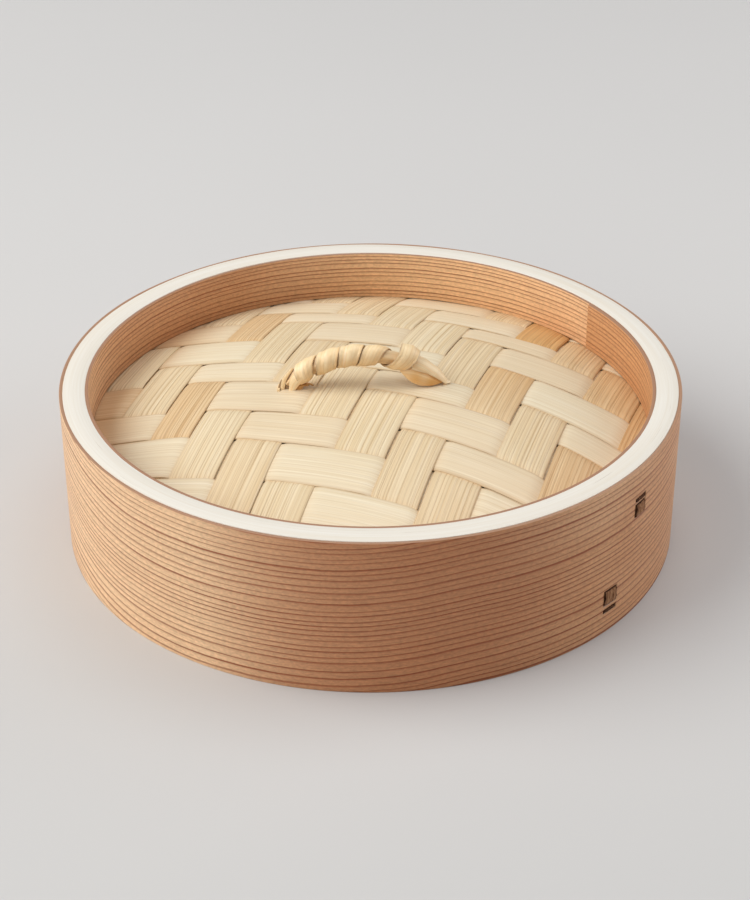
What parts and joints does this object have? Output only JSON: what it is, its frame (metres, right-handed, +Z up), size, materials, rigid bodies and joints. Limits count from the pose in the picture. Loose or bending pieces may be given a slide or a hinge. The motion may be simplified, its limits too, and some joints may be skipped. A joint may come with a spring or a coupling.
{
  "type": "woven bamboo steamer lid",
  "caption": "Round steamer lid: a deep bent-wood wall with a pale core, a low dome woven from flat bamboo strips, and a small ribbon-wound arched handle.",
  "frame": {"origin": "centre of the circular face that rests on the basket", "axes": "+Z up through the middle of the dome, +X along the handle, -Y towards the side that the picture shows in front"},
  "size_m": [0.21, 0.21, 0.0662],
  "materials": {
    "cedar_band": "raw straight-grained cedar with fine dark growth lines along the band",
    "cedar_liner": "raw straight-grained cedar, a little paler than the outside",
    "white_wood": "planed white softwood, matte, almost no figure",
    "pale_bamboo": "split bamboo, satin, fine fibres along each strip",
    "golden_bamboo": "split bamboo from an older stem, golden tan, grooved along each strip",
    "handle_bamboo": "thin shaved bamboo ribbon, satin",
    "leaf_lining": "dried bamboo leaf sheath, dull",
    "bark_stitch": "dark cherry-type bark strip, satin"
  },
  "bodies": {
    "lid": {"outer_band": "cedar_band", "stitch_upper": "bark_stitch", "stitch_lower": "bark_stitch", "core_hoop_upper": "white_wood", "core_hoop_lower": "white_wood", "liner_upper": "cedar_liner", "liner_lower": "cedar_liner", "handle_tail_left": "handle_bamboo", "handle_tail_right": "handle_bamboo", "lining_sheet": "leaf_lining", "upper_mat_long_strip_1": "pale_bamboo", "upper_mat_long_strip_2": "pale_bamboo", "upper_mat_long_strip_3": "pale_bamboo", "upper_mat_long_strip_4": "pale_bamboo", "upper_mat_long_strip_5": "pale_bamboo", "upper_mat_long_strip_6": "pale_bamboo", "upper_mat_long_strip_7": "pale_bamboo", "upper_mat_long_strip_8": "pale_bamboo", "upper_mat_long_strip_9": "pale_bamboo", "upper_mat_long_strip_10": "pale_bamboo", "upper_mat_long_strip_11": "pale_bamboo", "upper_mat_cross_strip_1": "pale_bamboo", "upper_mat_cross_strip_2": "pale_bamboo", "upper_mat_cross_strip_3": "golden_bamboo", "upper_mat_cross_strip_4": "pale_bamboo", "upper_mat_cross_strip_5": "pale_bamboo", "upper_mat_cross_strip_6": "pale_bamboo", "upper_mat_cross_strip_7": "pale_bamboo", "upper_mat_cross_strip_8": "pale_bamboo", "upper_mat_cross_strip_9": "golden_bamboo", "upper_mat_cross_strip_10": "pale_bamboo", "upper_mat_cross_strip_11": "golden_bamboo", "upper_mat_cross_strip_12": "golden_bamboo", "lower_mat_long_strip_1": "pale_bamboo", "lower_mat_long_strip_2": "pale_bamboo", "lower_mat_long_strip_3": "pale_bamboo", "lower_mat_long_strip_4": "pale_bamboo", "lower_mat_long_strip_5": "pale_bamboo", "lower_mat_long_strip_6": "pale_bamboo", "lower_mat_long_strip_7": "pale_bamboo", "lower_mat_long_strip_8": "pale_bamboo", "lower_mat_long_strip_9": "pale_bamboo", "lower_mat_cross_strip_1": "pale_bamboo", "lower_mat_cross_strip_2": "pale_bamboo", "lower_mat_cross_strip_3": "pale_bamboo", "lower_mat_cross_strip_4": "pale_bamboo", "lower_mat_cross_strip_5": "pale_bamboo", "lower_mat_cross_strip_6": "pale_bamboo", "lower_mat_cross_strip_7": "pale_bamboo", "lower_mat_cross_strip_8": "pale_bamboo", "lower_mat_cross_strip_9": "pale_bamboo"},
    "handle": {"handle_bundle": "handle_bamboo", "handle_ribbon": "handle_bamboo"}
  },
  "joints": [
    {"name": "handle_rock", "type": "hinge", "parent": "lid", "child": "handle", "pos_m": [-0.003, -0.0003, 0.0514], "axis": [0.9981, 0.061, 0], "range_deg": [-20, 20], "stiffness_Nm_per_rad": 0.004}
  ]
}
